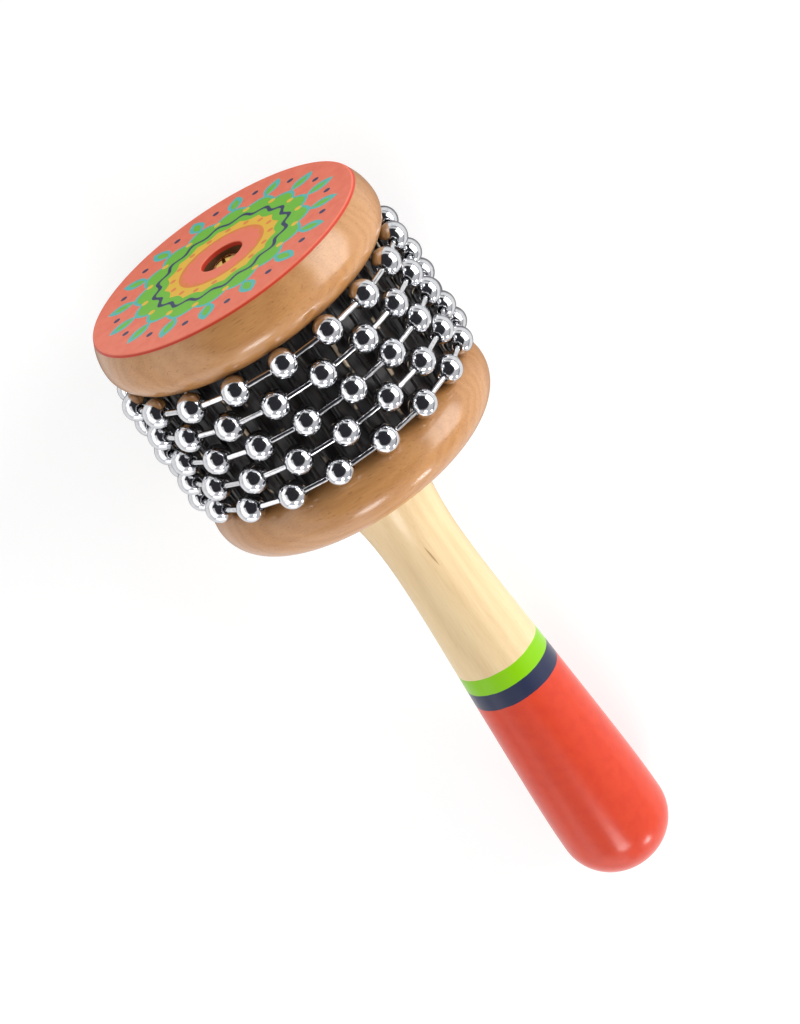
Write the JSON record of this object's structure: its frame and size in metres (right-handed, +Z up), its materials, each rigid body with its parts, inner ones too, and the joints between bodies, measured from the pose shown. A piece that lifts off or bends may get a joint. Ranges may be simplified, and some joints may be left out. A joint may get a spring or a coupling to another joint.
{
  "type": "cabasa",
  "caption": "Hand-held cabasa: loops of hollow steel balls turn loosely round a ribbed drum between two turned wooden rims, on a lacquered wooden handle.",
  "frame": {"origin": "on the table that the part lies on, at the middle of its footprint", "axes": "+Z up from the table; the head's axis lies in the XZ plane, tilted about 10.4 degrees up toward +X, where the printed face looks; the handle points to -X"},
  "size_m": [0.211, 0.084, 0.0883],
  "materials": {
    "handle_wood": "clear lacquer, with green, navy and red lacquer on the grip",
    "rim_wood": "gloss varnish, printed on the outer face",
    "core_wood": "bare",
    "sleeve_steel": "dark gloss",
    "tack_steel": "bright",
    "screw_plating": "yellow plating",
    "bead_steel": "bright plating",
    "link_steel": "bright plating"
  },
  "bodies": {
    "body": {"handle": "handle_wood", "lower_rim": "rim_wood", "core": "core_wood", "scraper_sleeve": "sleeve_steel", "sleeve_tacks": "tack_steel", "upper_rim": "rim_wood", "centre_screw": "screw_plating", "screw_washer": "screw_plating"},
    "strand_1": {"strand_1_beads": "bead_steel", "strand_1_links": "link_steel"},
    "strand_2": {"strand_2_beads": "bead_steel", "strand_2_links": "link_steel"},
    "strand_3": {"strand_3_beads": "bead_steel", "strand_3_links": "link_steel"},
    "strand_4": {"strand_4_beads": "bead_steel", "strand_4_links": "link_steel"},
    "strand_5": {"strand_5_beads": "bead_steel", "strand_5_links": "link_steel"}
  },
  "joints": [
    {"name": "strand_1_spin", "type": "hinge", "parent": "body", "child": "strand_1", "pos_m": [0.08103, 0, 0.04691], "axis": [0.9835, 0, 0.1809], "continuous": true},
    {"name": "strand_2_spin", "type": "hinge", "parent": "body", "child": "strand_2", "pos_m": [0.07344, 0, 0.04552], "axis": [0.9835, 0, 0.1809], "continuous": true},
    {"name": "strand_3_spin", "type": "hinge", "parent": "body", "child": "strand_3", "pos_m": [0.06585, 0, 0.04412], "axis": [0.9835, 0, 0.1809], "continuous": true},
    {"name": "strand_4_spin", "type": "hinge", "parent": "body", "child": "strand_4", "pos_m": [0.05826, 0, 0.04272], "axis": [0.9835, 0, 0.1809], "continuous": true},
    {"name": "strand_5_spin", "type": "hinge", "parent": "body", "child": "strand_5", "pos_m": [0.05066, 0, 0.04133], "axis": [0.9835, 0, 0.1809], "continuous": true}
  ]
}
